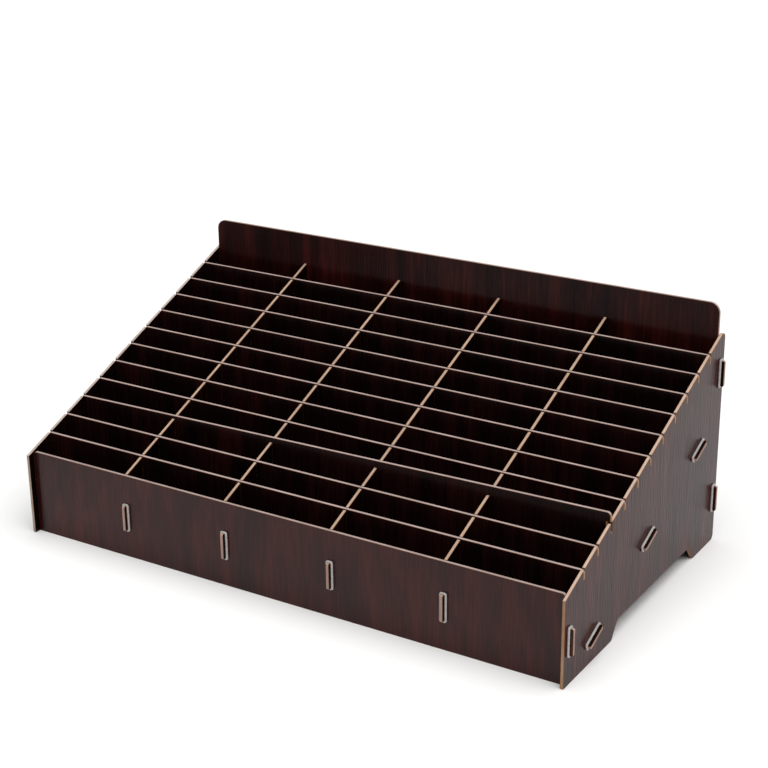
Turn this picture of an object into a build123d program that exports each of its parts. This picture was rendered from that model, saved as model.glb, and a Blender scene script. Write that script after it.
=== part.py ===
from build123d import *
import math
import os

os.makedirs("parts", exist_ok=True)

# A tabletop rack of sixty narrow compartments, cut from flat board and slotted together.
# The front faces -Y and +Z is up. The origin is on the table, under the middle of the case.
# All sizes are in millimetres.

# Compartments: five across, twelve from front to back.
board = 2.5
columns = 5
rows = 12
cell_width = 92.5
cell_depth = 18.7
column_pitch = cell_width + board
row_pitch = cell_depth + board
inner_width = columns * column_pitch - board
inner_depth = rows * row_pitch - board
half_width = inner_width / 2

# Side panels: a level base, upright ends and a top edge that climbs towards the back.
front_setback = 5.25
rear_setback = 6.25
case_depth = front_setback + inner_depth + 2 * board + rear_setback
front_edge = -case_depth / 2
rear_edge = case_depth / 2
side_front_height = 67.5
top_angle = 22.2
top_rise = math.tan(math.radians(top_angle))
rear_corner_radius = 4.5

# Foot notch: the arch in the bottom edge of each side panel.
front_foot_length = 77.0
rear_foot_length = 41.4
notch_height = 13.2
notch_slant = 10.0
notch_radius = 3.0

# Front and back panels, held upright between the sides.
front_panel_y = front_edge + front_setback + board / 2
back_panel_y = front_panel_y + rows * row_pitch
front_panel_drop = 0.5
front_corner_radius = 3.0
back_panel_height = 199.5
back_corner_radius = 8.0

# Floor board: parallel to the top edge, this far below it, measured straight down.
floor_drop = 65.2
floor_half = board / 2 / math.cos(math.radians(top_angle))
floor_end_gap = 0.7
floor_tab_spacing = 89.7
floor_tab_front = 44.0

# Tabs: each one passes through a slot, and its neck holds a rubber locking ring.
tab_length = 21.0
tab_reach = 4.0
tab_corner = 1.2
tab_root = 5.0
neck_depth = 0.5
neck_width = 1.8
tab_slot_gap = 0.1
panel_gap = 0.1
front_tab_height = 34.3
column_rear_tab_height = 137.0
back_tab_heights = (38.8, 143.7)

# Locking rings.
ring_thickness = 1.8
ring_width = 1.7
ring_rounding = 0.8

# Dividers: the rows hang in the side slots and are half-lapped over the columns.
column_drop = 0.7
row_drop = 0.4
floor_gap = 0.05
lap_drop = 32.0
lap_gap = 0.05
ear_height = 7.4
ear_radius = 3.0
ear_slot_depth = 7.6
row_slot_gap = 0.15
column_slot_gap = 0.4
row_end_gap = 0.7
row_floor_gap = 0.4
row_height = floor_drop - floor_half - top_rise * board / 2 - row_floor_gap

# One row divider sits lopsided: its right end has been pulled up out of its slot.
lifted_row = 9
lifted_angle = 0.967
lifted_shift = 0.58

row_places = [back_panel_y - n * row_pitch for n in range(1, rows)]
column_places = [-half_width - board / 2 + n * column_pitch for n in range(1, columns)]
floor_tab_places = [front_edge + floor_tab_front + n * floor_tab_spacing for n in range(3)]


def top_line(y):
    """Height of the side panels' sloping top edge at depth y."""
    return side_front_height + top_rise * (y - front_edge)


def add_tab(x, y, outward, through):
    """Draw a tab on the edge of a board at (x, y), pointing along the angle outward.

    It crosses a panel of the thickness through and then reaches out past it, where a shallow
    neck next to the panel keeps the locking ring in place.
    """
    with Locations(Location((x, y, 0), (0, 0, outward))):
        with Locations(((through + tab_reach - tab_root) / 2, 0)):
            RectangleRounded(through + tab_reach + tab_root, tab_length, tab_corner)
        neck_middle = through + neck_width / 2
        neck_offset = (tab_length - neck_depth) / 2
        with Locations((neck_middle, neck_offset), (neck_middle, -neck_offset)):
            Rectangle(neck_width, neck_depth, mode=Mode.SUBTRACT)


def cut_tab_slot(x, y, lean):
    """Cut the slot that a tab passes through, its long side at the angle lean from local y."""
    with Locations(Location((x, y, 0), (0, 0, lean))):
        Rectangle(board + 2 * tab_slot_gap, tab_length + 2 * tab_slot_gap, mode=Mode.SUBTRACT)


def round_corner(profile, corner, radius):
    """Round the corner of a profile that is nearest to a point."""
    fillet(profile.vertices().sort_by_distance(corner)[0], radius)


# The two side panels are the same outline, extruded at each end of the case.
for side, inner_face in (("left", -half_width - board), ("right", half_width)):
    with BuildPart() as side_panel:
        with BuildSketch(Plane.YZ.offset(inner_face)) as side_profile:
            notch_front = front_edge + front_foot_length
            notch_rear = rear_edge - rear_foot_length
            with BuildLine():
                Polyline(
                    (front_edge, 0),
                    (notch_front, 0),
                    (notch_front + notch_slant, notch_height),
                    (notch_rear - notch_slant, notch_height),
                    (notch_rear, 0),
                    (rear_edge, 0),
                    (rear_edge, top_line(rear_edge)),
                    (front_edge, side_front_height),
                    close=True,
                )
            make_face()
            round_corner(side_profile, (rear_edge, 0), rear_corner_radius)
            round_corner(side_profile, (rear_edge, top_line(rear_edge)), rear_corner_radius)
            round_corner(side_profile, (notch_front, 0), notch_radius)
            round_corner(side_profile, (notch_front + notch_slant, notch_height), notch_radius)
            round_corner(side_profile, (notch_rear - notch_slant, notch_height), notch_radius)
            round_corner(side_profile, (notch_rear, 0), notch_radius)
            for y in row_places:
                with Locations((y, top_line(y) - ear_slot_depth)):
                    Rectangle(
                        board + 2 * row_slot_gap,
                        2 * ear_slot_depth,
                        align=(Align.CENTER, Align.MIN),
                        mode=Mode.SUBTRACT,
                    )
            cut_tab_slot(front_panel_y, front_tab_height, 0)
            for z in back_tab_heights:
                cut_tab_slot(back_panel_y, z, 0)
            for y in floor_tab_places:
                cut_tab_slot(y, top_line(y) - floor_drop, top_angle - 90)
        extrude(amount=board)
    side_panel.part.label = f"side_panel_{side}"
    export_step(side_panel.part, f"parts/side_panel_{side}.step")

# Front panel, low and flat between the sides, with a slot for each column's front tab.
with BuildPart() as front_panel:
    with BuildSketch(Plane.XZ.offset(-front_panel_y)) as front_profile:
        front_width = inner_width - 2 * panel_gap
        front_top = top_line(front_panel_y) - front_panel_drop
        Rectangle(front_width, front_top, align=(Align.CENTER, Align.MIN))
        round_corner(front_profile, (-half_width, front_top), front_corner_radius)
        round_corner(front_profile, (half_width, front_top), front_corner_radius)
        add_tab(front_width / 2, front_tab_height, 0, board + panel_gap)
        add_tab(-front_width / 2, front_tab_height, 180, board + panel_gap)
        for x in column_places:
            cut_tab_slot(x, front_tab_height, 0)
    extrude(amount=board / 2, both=True)
front_panel.part.label = "front_panel"
export_step(front_panel.part, "parts/front_panel.step")

# Back panel, standing higher than the sides, with rounded top corners.
with BuildPart() as back_panel:
    with BuildSketch(Plane.XZ.offset(-back_panel_y)) as back_profile:
        back_width = inner_width - 2 * panel_gap
        Rectangle(back_width, back_panel_height, align=(Align.CENTER, Align.MIN))
        round_corner(back_profile, (-half_width, back_panel_height), back_corner_radius)
        round_corner(back_profile, (half_width, back_panel_height), back_corner_radius)
        for z in back_tab_heights:
            add_tab(back_width / 2, z, 0, board + panel_gap)
            add_tab(-back_width / 2, z, 180, board + panel_gap)
        for x in column_places:
            cut_tab_slot(x, column_rear_tab_height, 0)
    extrude(amount=board / 2, both=True)
back_panel.part.label = "back_panel"
export_step(back_panel.part, "parts/back_panel.step")

# Floor board, sloping up from the foot of the front panel, with three tabs in each side.
floor_front = front_panel_y + board / 2 + floor_end_gap
floor_rear = back_panel_y - board / 2 - floor_end_gap
floor_middle = (floor_front + floor_rear) / 2
floor_length = (floor_rear - floor_front) / math.cos(math.radians(top_angle))
floor_plane = Plane(
    origin=(0, floor_middle, top_line(floor_middle) - floor_drop),
    x_dir=(1, 0, 0),
    z_dir=(0, -math.sin(math.radians(top_angle)), math.cos(math.radians(top_angle))),
)
with BuildPart() as floor_board:
    with BuildSketch(floor_plane):
        floor_width = inner_width - 2 * panel_gap
        Rectangle(floor_width, floor_length)
        for y in floor_tab_places:
            along = (y - floor_middle) / math.cos(math.radians(top_angle))
            add_tab(floor_width / 2, along, 0, board + panel_gap)
            add_tab(-floor_width / 2, along, 180, board + panel_gap)
    extrude(amount=board / 2, both=True)
floor_board.part.label = "floor_board"
export_step(floor_board.part, "parts/floor_board.step")

# Column dividers run front to back on the floor, with a slot from the top for each row.
column_front = front_panel_y + board / 2 + panel_gap
column_rear = back_panel_y - board / 2 - panel_gap
column_foot = floor_drop - floor_half - floor_gap
for number, x in enumerate(column_places, start=1):
    with BuildPart() as column_divider:
        with BuildSketch(Plane.YZ.offset(x)):
            with BuildLine():
                Polyline(
                    (column_front, top_line(column_front) - column_foot),
                    (column_rear, top_line(column_rear) - column_foot),
                    (column_rear, top_line(column_rear) - column_drop),
                    (column_front, top_line(column_front) - column_drop),
                    close=True,
                )
            make_face()
            add_tab(column_front, front_tab_height, 180, board + panel_gap)
            add_tab(column_rear, column_rear_tab_height, 0, board + panel_gap)
            for y in row_places:
                with Locations((y, top_line(y) - lap_drop)):
                    Rectangle(
                        board + 2 * row_slot_gap,
                        2 * lap_drop,
                        align=(Align.CENTER, Align.MIN),
                        mode=Mode.SUBTRACT,
                    )
        extrude(amount=board / 2, both=True)
    column_divider.part.label = f"column_divider_{number}"
    export_step(column_divider.part, f"parts/column_divider_{number}.step")

# Row dividers run side to side. Each is drawn from the lower outer corner of its left ear.
row_span = inner_width + 2 * board
body_start = board + row_end_gap
row_top = ear_height - row_drop
for number, y in enumerate(row_places, start=1):
    lifted = number == lifted_row
    lean = math.radians(lifted_angle if lifted else 0)
    row_plane = Plane(
        origin=(-row_span / 2 - (lifted_shift if lifted else 0), y, top_line(y) - ear_height),
        x_dir=(math.cos(lean), 0, math.sin(lean)),
        z_dir=(0, -1, 0),
    )
    with BuildPart() as row_divider:
        with BuildSketch(row_plane) as row_profile:
            with BuildLine():
                Polyline(
                    (0, 0),
                    (body_start, 0),
                    (body_start, ear_height - row_height),
                    (row_span - body_start, ear_height - row_height),
                    (row_span - body_start, 0),
                    (row_span, 0),
                    (row_span, row_top),
                    (0, row_top),
                    close=True,
                )
            make_face()
            round_corner(row_profile, (0, row_top), ear_radius)
            round_corner(row_profile, (row_span, row_top), ear_radius)
            for x in column_places:
                with Locations((row_span / 2 + x, ear_height - lap_drop + lap_gap)):
                    Rectangle(
                        board + 2 * column_slot_gap,
                        row_height,
                        align=(Align.CENTER, Align.MAX),
                        mode=Mode.SUBTRACT,
                    )
        extrude(amount=board / 2, both=True)
    row_divider.part.label = f"row_divider_{number}"
    export_step(row_divider.part, f"parts/row_divider_{number}.step")

# Rubber locking rings: one stretched round the neck of every tab, against the panel.
# Each place is (centre of the tab on the panel's outer face, outward, along the tab).
side_tabs = [(front_panel_y, front_tab_height, 0)]
side_tabs += [(y, top_line(y) - floor_drop, 90 - top_angle) for y in floor_tab_places]
side_tabs += [(back_panel_y, z, 0) for z in back_tab_heights]
ring_places = {}
for number, (y, z, lean) in enumerate(side_tabs, start=1):
    along = (0, math.sin(math.radians(lean)), math.cos(math.radians(lean)))
    outer_face = half_width + board
    ring_places[f"locking_ring_right_{number}"] = ((outer_face, y, z), (1, 0, 0), along)
    ring_places[f"locking_ring_left_{number}"] = ((-outer_face, y, z), (-1, 0, 0), along)
for number, x in enumerate(column_places, start=1):
    front_face = (x, front_panel_y - board / 2, front_tab_height)
    rear_face = (x, back_panel_y + board / 2, column_rear_tab_height)
    ring_places[f"locking_ring_front_{number}"] = (front_face, (0, -1, 0), (0, 0, 1))
    ring_places[f"locking_ring_rear_{number}"] = (rear_face, (0, 1, 0), (0, 0, 1))

neck_length = tab_length - 2 * neck_depth
for name, (centre, outward, along) in ring_places.items():
    ring_plane = Plane(origin=centre, x_dir=along, z_dir=outward)
    with BuildPart() as locking_ring:
        with BuildSketch(ring_plane):
            RectangleRounded(
                neck_length + 2 * ring_thickness,
                board + 2 * ring_thickness,
                ring_thickness,
            )
        extrude(amount=ring_width)
        ends = locking_ring.faces().sort_by(Axis(centre, outward))
        fillet(ends[0].edges() + ends[-1].edges(), ring_rounding)
        with BuildSketch(ring_plane):
            Rectangle(neck_length, board)
        extrude(amount=ring_width, mode=Mode.SUBTRACT)
    locking_ring.part.label = name
    export_step(locking_ring.part, f"parts/{name}.step")
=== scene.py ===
import math

import bpy
import numpy as np
from mathutils import Matrix, Vector


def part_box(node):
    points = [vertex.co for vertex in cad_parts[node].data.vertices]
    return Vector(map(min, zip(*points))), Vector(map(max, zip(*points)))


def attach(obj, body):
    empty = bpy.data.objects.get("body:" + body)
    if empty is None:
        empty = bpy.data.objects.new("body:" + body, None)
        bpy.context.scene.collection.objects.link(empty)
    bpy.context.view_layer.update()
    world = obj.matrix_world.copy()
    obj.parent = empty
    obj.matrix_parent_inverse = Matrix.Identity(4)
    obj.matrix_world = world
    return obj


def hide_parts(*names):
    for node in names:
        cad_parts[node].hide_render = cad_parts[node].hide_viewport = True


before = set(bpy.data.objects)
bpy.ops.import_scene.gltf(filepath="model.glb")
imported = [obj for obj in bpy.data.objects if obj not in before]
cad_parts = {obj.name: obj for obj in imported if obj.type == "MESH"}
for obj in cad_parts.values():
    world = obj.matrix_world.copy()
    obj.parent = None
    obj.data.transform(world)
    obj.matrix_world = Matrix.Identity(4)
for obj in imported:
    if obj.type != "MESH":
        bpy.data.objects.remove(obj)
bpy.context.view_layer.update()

# Camera: a long lens a little over a metre away, above the front right corner of the rack.
# It looks down on the open compartments, with the case filling most of the frame.
CAMERA_AZIMUTH = 32.0
CAMERA_ELEVATION = 21.17
CAMERA_ROLL = -0.63
CAMERA_DISTANCE = 1.3368
CAMERA_TARGET = Vector((0.0151, -0.0005, 0.1336))
SENSOR_WIDTH = 36.0
LENS = 81.0

camera_data = bpy.data.cameras.new("camera")
camera_data.sensor_width = SENSOR_WIDTH
camera_data.lens = LENS
camera = bpy.data.objects.new("camera", camera_data)
bpy.context.scene.collection.objects.link(camera)
aim = (
    Matrix.Rotation(math.radians(CAMERA_AZIMUTH), 4, "Z")
    @ Matrix.Rotation(math.radians(90 - CAMERA_ELEVATION), 4, "X")
    @ Matrix.Rotation(math.radians(CAMERA_ROLL), 4, "Z")
)
camera.matrix_world = Matrix.Translation(CAMERA_TARGET + aim.col[2].xyz * CAMERA_DISTANCE) @ aim
bpy.context.scene.camera = camera


# Studio: a plain white sweep under an even white sky, with one very broad soft light overhead,
# a little to the right, and a black card flat on the floor at the left to deepen the back board.
def linear(hex_colour):
    """An sRGB hex colour such as "c39a74" as linear red, green, blue and a full alpha."""
    srgb = np.array([int(hex_colour[i : i + 2], 16) for i in (0, 2, 4)]) / 255
    low = srgb / 12.92
    high = ((srgb + 0.055) / 1.055) ** 2.4
    return (*np.where(srgb <= 0.04045, low, high).tolist(), 1.0)


def add_node(tree, kind, settings=None, **links):
    """Add a shader node, set its properties and sockets, and link named sockets to it."""
    node = tree.nodes.new(kind)
    for name, value in (settings or {}).items():
        if name in node.inputs:
            node.inputs[name].default_value = value
        else:
            setattr(node, name, value)
    for name, source in links.items():
        tree.links.new(source, node.inputs[name.replace("_", " ")])
    return node


SKY_STRENGTH = 0.27
FLOOR_SIZE = 40.0
scene = bpy.context.scene
scene.view_settings.view_transform = "Standard"
sky = bpy.data.worlds.new("studio_sky")
sky.use_nodes = True
sky.node_tree.nodes["Background"].inputs["Color"].default_value = linear("ffffff")
sky.node_tree.nodes["Background"].inputs["Strength"].default_value = SKY_STRENGTH
scene.world = sky

floor_paper = bpy.data.materials.new("white_backdrop_paper")
floor_paper.use_nodes = True
paper_shader = floor_paper.node_tree.nodes["Principled BSDF"]
paper_shader.inputs["Base Color"].default_value = linear("fbfbfa")
paper_shader.inputs["Roughness"].default_value = 0.9
bpy.ops.mesh.primitive_plane_add(size=FLOOR_SIZE)
studio_floor = bpy.context.object
studio_floor.name = "studio_floor"
studio_floor.data.materials.append(floor_paper)

OVERHEAD_STRENGTH = 2.9
OVERHEAD_SPREAD = 75.0
OVERHEAD_FROM = Vector((0.26, -0.14, 1.0))
overhead_data = bpy.data.lights.new("overhead_soft_light", "SUN")
overhead_data.energy = OVERHEAD_STRENGTH
overhead_data.angle = math.radians(OVERHEAD_SPREAD)
overhead = bpy.data.objects.new("overhead_soft_light", overhead_data)
scene.collection.objects.link(overhead)
overhead.rotation_euler = OVERHEAD_FROM.to_track_quat("Z", "Y").to_euler()

# The card lies where the left of the back panel's gloss would mirror the white floor.
CARD_X = (-0.80, -0.36)
CARD_Y = (-0.50, 0.05)
CARD_LIFT = 0.001
card_paper = bpy.data.materials.new("black_card")
card_paper.use_nodes = True
card_paper.node_tree.nodes["Principled BSDF"].inputs["Base Color"].default_value = linear("1c1a1a")
card_mesh = bpy.data.meshes.new("black_card")
card_mesh.from_pydata(
    [(CARD_X[i], CARD_Y[j], CARD_LIFT) for i, j in ((0, 0), (1, 0), (1, 1), (0, 1))],
    [],
    [(0, 1, 2, 3)],
)
card_mesh.materials.append(card_paper)
card = bpy.data.objects.new("black_card", card_mesh)
scene.collection.objects.link(card)
card.visible_camera = False
card.visible_diffuse = False
card.visible_shadow = False


# Side panels: 2.5 mm fibreboard with a printed walnut foil pressed on both faces, laser cut to
# shape, so that the light brown core shows at every edge. They stand on their own two feet.
ARRIS = 0.0002
ARRIS_STEPS = 3
END_ZONE = 0.008
EDGE_ANGLE = 35.0
ALONG_X, ALONG_Y = 0, 1
FOIL, CORE, SLOT_WALL, BACK_FOIL = 0, 1, 2, 3


def board_profile(thickness):
    """The edge of a board in section, as (inset, height) pairs from its top face to its bottom.

    It is a straight cut with each arris rounded by a quarter circle: inset = r (1 - sin a) and
    height = t / 2 - r (1 - cos a), for a from 0 to 90 degrees, then the same upside down.
    """
    turn = np.linspace(0, math.pi / 2, ARRIS_STEPS + 1)
    inset = ARRIS * (1 - np.sin(turn))
    height = thickness / 2 - ARRIS * (1 - np.cos(turn))
    return np.concatenate([inset, inset[::-1]]), np.concatenate([height, -height[::-1]])


def cut_board(node, normal, foil, back_foil, core, lengthways):
    """Make a board with softened arrises from a CAD node, whose outline it keeps.

    foil is on the face along normal and back_foil on the other. core is the cut edge. A wall
    across the lengthways axis and away from the board's ends is inside a slot, and is painted a darker
    brown as painted shade.

    The node's face along normal gives the triangles and the outline. Every outline vertex v is
    carried down the edge's section: v - inset * m + height * normal, where m is the mitred
    outward direction (a + b) / (1 + a.b) of the outline's two edges at v.
    """
    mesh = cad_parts[node].data
    mesh.calc_loop_triangles()
    points = np.zeros(len(mesh.vertices) * 3, np.float32)
    mesh.vertices.foreach_get("co", points)
    corners = np.zeros(len(mesh.loop_triangles) * 3, np.int32)
    mesh.loop_triangles.foreach_get("vertices", corners)
    points = points.reshape(-1, 3).astype(float)
    keys, first, same = np.unique(
        np.round(points * 1e6).astype(np.int64), axis=0, return_index=True, return_inverse=True
    )
    points = points[first]
    triangles = same.reshape(-1)[corners].reshape(-1, 3)
    triangles = triangles[
        (triangles[:, 0] != triangles[:, 1])
        & (triangles[:, 1] != triangles[:, 2])
        & (triangles[:, 2] != triangles[:, 0])
    ]
    edge_a = points[triangles[:, 1]] - points[triangles[:, 0]]
    edge_b = points[triangles[:, 2]] - points[triangles[:, 0]]
    facing = np.cross(edge_a, edge_b)
    facing /= np.linalg.norm(facing, axis=1)[:, None]
    normal = np.array(normal, float)
    cap = triangles[facing @ normal > 0.99]

    used, cap = np.unique(cap, return_inverse=True)
    cap = cap.reshape(-1, 3)
    outline = points[used]
    count = len(outline)
    height = points @ normal
    thickness = height.max() - height.min()
    outline = outline - thickness / 2 * normal

    starts = cap[:, [0, 1, 2]].reshape(-1)
    ends = cap[:, [1, 2, 0]].reshape(-1)
    on_rim = ~np.isin(starts * count + ends, ends * count + starts)
    starts, ends = starts[on_rim], ends[on_rim]
    along = outline[ends] - outline[starts]
    along /= np.linalg.norm(along, axis=1)[:, None]
    outward = np.cross(along, normal)
    leaving = np.zeros((count, 3))
    arriving = np.zeros((count, 3))
    leaving[starts] = outward
    arriving[ends] = outward
    cosine = (leaving * arriving).sum(axis=1)[:, None]
    mitre = (leaving + arriving) / np.maximum(1 + cosine, 0.1)

    insets, heights = board_profile(thickness)
    rings = outline[None] - insets[:, None, None] * mitre + heights[:, None, None] * normal
    vertices = rings.reshape(-1, 3)
    last = (len(insets) - 1) * count
    levels = np.arange(len(insets) - 1)[:, None] * count
    walls = np.stack(
        [levels + starts, levels + count + starts, levels + count + ends, levels + ends], axis=-1
    ).reshape(-1, 4)
    caps = np.concatenate([cap, last + cap[:, ::-1]])

    board = bpy.data.meshes.new(node)
    board.from_pydata(vertices.tolist(), [], caps.tolist() + walls.tolist())
    finish = np.full(len(board.polygons), FOIL, np.int32)
    wall_level = np.repeat(np.arange(len(insets) - 1), len(starts))
    middle = (outline[starts] + outline[ends])[:, lengthways] / 2
    from_end = np.minimum(middle - outline[:, lengthways].min(), outline[:, lengthways].max() - middle)
    # Walls inside slots take the darker slot material, as painted shade.
    in_slot = (np.abs(outward[:, lengthways]) > 0.9) & (from_end > END_ZONE)
    finish[len(cap) :] = BACK_FOIL
    cut = np.tile(np.where(in_slot, SLOT_WALL, CORE), len(insets) - 1)
    finish[len(caps) :] = np.where(wall_level > ARRIS_STEPS, BACK_FOIL, cut)
    board.polygons.foreach_set("material_index", finish)
    board.set_sharp_from_angle(angle=math.radians(EDGE_ANGLE))
    smooth = np.zeros(len(board.polygons), bool)
    smooth[len(caps) :] = True
    board.polygons.foreach_set("use_smooth", smooth)
    across = board.attributes.new("through_board", "FLOAT", "POINT")
    across.data.foreach_set("value", np.repeat(0.5 - heights / thickness, count).astype(np.float32))
    for material in (foil, core, slot_wall_shade, back_foil):
        board.materials.append(material)
    board.validate()
    piece = bpy.data.objects.new(f"{node}_board", board)
    scene.collection.objects.link(piece)
    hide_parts(node)
    return piece


# A mix node's colour sockets have the same names as its other ones, so they go by number.
COLOUR_A, COLOUR_B, COLOUR_OUT = 6, 7, 2

STREAK = (0.011, 0.130)
CLOUD = (0.050, 0.140)
PORE = (0.0015, 0.030)


def walnut_foil(name, grain_turn, gloss_ior, tones, pore_depth):
    """Printed walnut foil: soft red-brown streaks, broad clouds and short dark pores.

    STREAK, CLOUD and PORE are the width and length of each in metres, the length being along
    local Z after a turn by grain_turn. Real pores are 0.3 mm wide, too fine to show, so they
    are drawn as wide as they need to be, and darken the print by up to pore_depth. The foil's
    satin gloss mirrors what is around it.
    """
    material = bpy.data.materials.new(name)
    material.use_nodes = True
    tree = material.node_tree
    shader = tree.nodes["Principled BSDF"]
    place = add_node(tree, "ShaderNodeTexCoord").outputs["Object"]
    grain = []
    for (width, length), detail, swirl in ((STREAK, 2.0, 0.5), (CLOUD, 3.0, 1.3), (PORE, 2.0, 0.0)):
        space = add_node(
            tree,
            "ShaderNodeMapping",
            {"Rotation": grain_turn, "Scale": (1 / width, 1 / width, 1 / length)},
            Vector=place,
        )
        noise = add_node(
            tree,
            "ShaderNodeTexNoise",
            {"Scale": 1.0, "Detail": detail, "Roughness": 0.5, "Distortion": swirl},
            Vector=space.outputs["Vector"],
        )
        grain.append(noise.outputs["Fac"])
    streaks, clouds, pores = grain
    tone = add_node(
        tree, "ShaderNodeMix", {"data_type": "FLOAT", "Factor": 0.5}, A=streaks, B=clouds
    )
    colour = add_node(tree, "ShaderNodeValToRGB", Fac=tone.outputs["Result"])
    ramp = colour.color_ramp
    ramp.elements[0].position = 0.36
    ramp.elements[0].color = linear(tones[0])
    ramp.elements[1].position = 0.64
    ramp.elements[1].color = linear(tones[2])
    ramp.elements.new(0.5).color = linear(tones[1])
    pore_mask = add_node(
        tree,
        "ShaderNodeMapRange",
        {"From Min": 0.42, "From Max": 0.58, "To Min": 1 - pore_depth, "To Max": 1.0},
        Value=pores,
    )
    printed = add_node(
        tree, "ShaderNodeMix", {"data_type": "RGBA", "blend_type": "MULTIPLY", "Factor": 1.0}
    )
    tree.links.new(colour.outputs["Color"], printed.inputs[COLOUR_A])
    tree.links.new(pore_mask.outputs["Result"], printed.inputs[COLOUR_B])
    tree.links.new(printed.outputs[COLOUR_OUT], shader.inputs["Base Color"])
    gloss = add_node(
        tree,
        "ShaderNodeMapRange",
        {"From Min": 0.3, "From Max": 0.7, "To Min": 0.26, "To Max": 0.15},
        Value=pores,
    )
    tree.links.new(gloss.outputs["Result"], shader.inputs["Roughness"])
    relief = add_node(tree, "ShaderNodeBump", {"Strength": 1.0, "Distance": 0.0002}, Height=pores)
    tree.links.new(relief.outputs["Normal"], shader.inputs["Normal"])
    shader.inputs["IOR"].default_value = gloss_ior
    return material


FIBRE = 0.0007
PATCH = 0.016


def cut_fibreboard(name, lit_top, shaded_upright, burnt="7a4c2c"):
    """Laser-cut edge of fibreboard: a fine brown felt, each tone given as its pale and dark fleck.

    Edges are painted paler the more they face up, as painted light from overhead, and upright
    ones a darker brown of the cut, as painted shade. A thin burnt line runs along the side that
    the laser left by. FIBRE and PATCH are the sizes of the flecks in metres.
    """
    material = bpy.data.materials.new(name)
    material.use_nodes = True
    tree = material.node_tree
    shader = tree.nodes["Principled BSDF"]
    place = add_node(tree, "ShaderNodeTexCoord").outputs["Object"]
    fibres = add_node(
        tree,
        "ShaderNodeTexNoise",
        {"Scale": 1 / FIBRE, "Detail": 3.0, "Roughness": 0.6},
        Vector=place,
    )
    patches = add_node(
        tree,
        "ShaderNodeTexNoise",
        {"Scale": 1 / PATCH, "Detail": 2.0, "Roughness": 0.5},
        Vector=place,
    )
    speckle = add_node(
        tree,
        "ShaderNodeMix",
        {"data_type": "FLOAT", "Factor": 0.4},
        A=fibres.outputs["Fac"],
        B=patches.outputs["Fac"],
    )
    tones = []
    for pale, dark in (shaded_upright, lit_top):
        tone = add_node(tree, "ShaderNodeValToRGB", Fac=speckle.outputs["Result"])
        tone.color_ramp.elements[0].position = 0.38
        tone.color_ramp.elements[0].color = linear(dark)
        tone.color_ramp.elements[1].position = 0.62
        tone.color_ramp.elements[1].color = linear(pale)
        tones.append(tone.outputs["Color"])
    # Painted light: the tone moves from the darker upright brown to the paler top tone as the edge
    # turns to face up. It stands in for light from overhead and shade on upright edges.
    facing = add_node(tree, "ShaderNodeNewGeometry").outputs["Normal"]
    upward = add_node(tree, "ShaderNodeSeparateXYZ", Vector=facing)
    painted_top_light = add_node(
        tree,
        "ShaderNodeMapRange",
        {"From Min": 0.2, "From Max": 0.85},
        Value=upward.outputs["Z"],
    )
    colour = add_node(tree, "ShaderNodeMix", {"data_type": "RGBA"}, Factor=painted_top_light.outputs["Result"])
    tree.links.new(tones[0], colour.inputs[COLOUR_A])
    tree.links.new(tones[1], colour.inputs[COLOUR_B])
    depth = add_node(tree, "ShaderNodeAttribute", {"attribute_name": "through_board"})
    burn = add_node(
        tree,
        "ShaderNodeMapRange",
        {"From Min": 0.16, "From Max": 0.07, "To Min": 0.0, "To Max": 1.0},
        Value=depth.outputs["Fac"],
    )
    cut = add_node(tree, "ShaderNodeMix", {"data_type": "RGBA"}, Factor=burn.outputs["Result"])
    tree.links.new(colour.outputs[COLOUR_OUT], cut.inputs[COLOUR_A])
    cut.inputs[COLOUR_B].default_value = linear(burnt)
    tree.links.new(cut.outputs[COLOUR_OUT], shader.inputs["Base Color"])
    relief = add_node(
        tree,
        "ShaderNodeBump",
        {"Strength": 0.4, "Distance": 0.0001},
        Height=fibres.outputs["Fac"],
    )
    tree.links.new(relief.outputs["Normal"], shader.inputs["Normal"])
    shader.inputs["Roughness"].default_value = 0.75
    return material


# The side foil is redder and less glossy than the front's. The inner one is painted near black,
# as painted shade of the deep compartments. Slot walls are a darker brown, as painted shade in the
# slots.
SIDE_TONES = ("2a0e0c", "3c1411", "4d1e19")
# Inner tones are painted far darker than the foil, as painted shade of the compartments.
SHADED_INNER_TONES = ("0c0404", "160706", "210c0a")
side_foil = walnut_foil("walnut_foil_side_grain", (0, 0, 0), 1.22, SIDE_TONES, 0.45)
shaded_inner_foil = walnut_foil("walnut_foil_inner_painted_shade", (0, 0, 0), 1.2, SHADED_INNER_TONES, 0.5)
# Slot walls: one darker brown on every side, as painted shade inside the slots.
slot_wall_shade = cut_fibreboard("slot_wall_painted_shade", ("7d5638", "553823"), ("7d5638", "553823"))
# Each edge has a paler top tone, painted light from overhead, and a darker upright tone, painted
# shade.
for side, outward, lit_top, shaded_upright in (
    ("left", -1, ("c9b7ac", "ab988c"), ("ab9686", "8b7666")),
    ("right", 1, ("d6b8a2", "ba9982"), ("a98060", "815d42")),
):
    edge = cut_fibreboard(f"bare_fibreboard_edge_{side}", lit_top, shaded_upright)
    facing = (outward, 0, 0)
    panel = cut_board(f"side_panel_{side}", facing, side_foil, shaded_inner_foil, edge, ALONG_Y)
    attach(panel, "case")


# Floor board: the same board lying on a slope, held by three tabs in each side panel.
# Its grain runs up the slope.
TOP_ANGLE = math.radians(22.2)
floor_normal = (0, -math.sin(TOP_ANGLE), math.cos(TOP_ANGLE))
uphill = (math.radians(90), 0, 0)
# The sloping board also takes the darkened inner tones, as painted shade of the compartments.
sloping_foil = walnut_foil("walnut_foil_sloping_grain", uphill, 1.2, SHADED_INNER_TONES, 0.5)
# Paler top tone as painted light from overhead, darker upright tone as painted shade.
pale_edge = cut_fibreboard(
    "bare_fibreboard_pale_edge", ("b9a6a0", "9b8881"), ("b3958a", "8f7468")
)
floor_board = cut_board(
    "floor_board", floor_normal, sloping_foil, sloping_foil, pale_edge, ALONG_X
)
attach(floor_board, "case")


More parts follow.
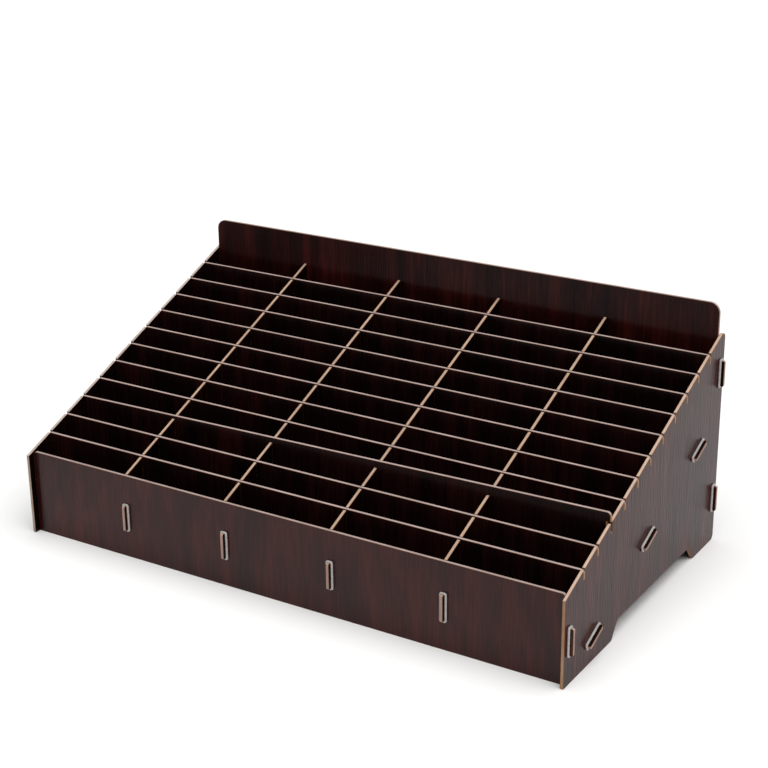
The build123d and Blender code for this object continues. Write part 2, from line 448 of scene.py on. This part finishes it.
# Front and back panels: upright boards between the sides, their tabs through the side panels.
# The back one stands taller, with its top corners well rounded.
FRONT_TONES = ("270c0b", "35120f", "431815")
BACK_TONES = ("1a0707", "2c0e0c", "421613")
front_foil = walnut_foil("walnut_foil_front_grain", (0, 0, 0), 1.32, FRONT_TONES, 0.3)
back_foil = walnut_foil("walnut_foil_back_grain", (0, 0, 0), 1.2, BACK_TONES, 0.3)
for name, facing, hidden in (
    ("front_panel", front_foil, shaded_inner_foil),
    ("back_panel", back_foil, front_foil),
):
    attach(cut_board(name, (0, -1, 0), facing, hidden, pale_edge, ALONG_X), "case")


# Column dividers: slotted from above for the rows, each with a tab through the front panel and
# one through the back panel.
# Paler top tone as painted light from overhead, darker upright tone as painted shade.
column_edge = cut_fibreboard(
    "bare_fibreboard_column_edge", ("c4a790", "a98972"), ("b3958a", "8f7468")
)
for number in range(1, 5):
    name = f"column_divider_{number}"
    # Both faces take the darkened inner foil, as painted shade of the compartments.
    divider = cut_board(name, (1, 0, 0), shaded_inner_foil, shaded_inner_foil, column_edge, ALONG_Y)
    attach(divider, "case")


# Row dividers: loose boards slotted from below, hanging over the columns, with a rounded ear at
# each end in the side panels' slots. Each one lifts out.
# Paler top tone as painted light from overhead, darker upright tone as painted shade.
row_edge = cut_fibreboard(
    "bare_fibreboard_row_edge", ("c1afaa", "a2908a"), ("ab8662", "866543")
)
# Row foil tones are painted near black, as painted shade of the compartments the rows stand in.
SHADED_ROW_TONES = ("0f0605", "1a0908", "280f0d")
shaded_row_foil = walnut_foil("walnut_foil_row_grain_painted_shade", (0, 0, 0), 1.22, SHADED_ROW_TONES, 0.4)
for number in range(1, 12):
    name = f"row_divider_{number}"
    divider = cut_board(name, (0, -1, 0), shaded_row_foil, shaded_row_foil, row_edge, ALONG_X)
    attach(divider, f"{name}_body")


# Locking rings: small bands of pale grey silicone rubber, stretched round the neck of each tab
# and pressed against the panel, so that the tab can't draw back.
RUBBER_SECTION = 0.0009
SECTION_STEPS = 20
CORNER_STEPS = 9
NECK_LENGTH = 0.020
NECK_CORNER = 0.0001
BOARD = 0.0025


def stretched_ring(name, centre, outward, along, material):
    """A round rubber section carried round the offset outline of the tab's neck.

    For a turn a round the outline and a turn b round the section: the middle of the neck's
    corner rounding c in quadrant a, plus (c + r + r cos b) towards angle a in the panel's
    plane, plus (r + r sin b) outwards. Each quadrant keeps both its ends, so the gap between
    two is a straight side.
    """
    quadrant = np.linspace(0, math.pi / 2, CORNER_STEPS)
    turn = np.concatenate([quadrant + k * math.pi / 2 for k in range(4)])
    middle = np.repeat([math.pi / 4 + k * math.pi / 2 for k in range(4)], len(quadrant))
    section = np.linspace(0, 2 * math.pi, SECTION_STEPS, endpoint=False)
    outward = np.array(outward, float)
    along = np.array(along, float)
    side = np.cross(outward, along)
    corner = (
        np.sign(np.cos(middle))[:, None] * (NECK_LENGTH / 2 - NECK_CORNER) * along
        + np.sign(np.sin(middle))[:, None] * (BOARD / 2 - NECK_CORNER) * side
    )
    radial = np.cos(turn)[:, None] * along + np.sin(turn)[:, None] * side
    reach = NECK_CORNER + RUBBER_SECTION * (1 + np.cos(section))
    lift = RUBBER_SECTION * (1 + np.sin(section))
    grid = (
        np.array(centre)
        + corner[:, None]
        + reach[None, :, None] * radial[:, None]
        + lift[None, :, None] * outward
    )
    rows, columns = grid.shape[:2]
    i, j = np.meshgrid(np.arange(rows), np.arange(columns), indexing="ij")
    after_i, after_j = (i + 1) % rows, (j + 1) % columns
    faces = np.stack(
        [i * columns + j, after_i * columns + j, after_i * columns + after_j, i * columns + after_j],
        axis=-1,
    ).reshape(-1, 4)
    mesh = bpy.data.meshes.new(name)
    mesh.from_pydata(grid.reshape(-1, 3).tolist(), [], faces.tolist())
    mesh.polygons.foreach_set("use_smooth", np.ones(len(faces), bool))
    mesh.materials.append(material)
    ring = bpy.data.objects.new(f"{name}_band", mesh)
    scene.collection.objects.link(ring)
    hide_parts(name)
    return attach(ring, "case")


# Moulded silicone rubber: a soft satin grey, with a faint bloom in patches of about 2 mm.
BLOOM = 0.002
rubber = bpy.data.materials.new("grey_silicone_rubber")
rubber.use_nodes = True
rubber_tree = rubber.node_tree
rubber_shader = rubber_tree.nodes["Principled BSDF"]
rubber_place = add_node(rubber_tree, "ShaderNodeTexCoord").outputs["Object"]
bloom = add_node(
    rubber_tree, "ShaderNodeTexNoise", {"Scale": 1 / BLOOM, "Detail": 3.0}, Vector=rubber_place
)
rubber_tint = add_node(rubber_tree, "ShaderNodeValToRGB", Fac=bloom.outputs["Fac"])
rubber_tint.color_ramp.elements[0].position = 0.35
rubber_tint.color_ramp.elements[0].color = linear("a8a3a0")
rubber_tint.color_ramp.elements[1].position = 0.65
rubber_tint.color_ramp.elements[1].color = linear("bdb8b4")
rubber_tree.links.new(rubber_tint.outputs["Color"], rubber_shader.inputs["Base Color"])
rubber_shader.inputs["Roughness"].default_value = 0.45
rubber_shader.inputs["IOR"].default_value = 1.41


def ring_frame(name, axis, direction):
    """Where a ring sits: its centre on the panel's face, and the direction along its tab."""
    low, high = (np.array(corner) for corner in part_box(name))
    centre = (low + high) / 2
    centre[axis] = low[axis] if direction > 0 else high[axis]
    slanted = axis == 0 and high[1] - low[1] > high[2] - low[2]
    along = (0, math.cos(TOP_ANGLE), math.sin(TOP_ANGLE)) if slanted else (0, 0, 1)
    return centre, along


for place, axis, direction, how_many in (
    ("front", 1, -1, 4),
    ("rear", 1, 1, 4),
    ("left", 0, -1, 6),
    ("right", 0, 1, 6),
):
    outward = np.eye(3)[axis] * direction
    for number in range(1, how_many + 1):
        name = f"locking_ring_{place}_{number}"
        centre, along = ring_frame(name, axis, direction)
        stretched_ring(name, centre, outward, along, rubber)
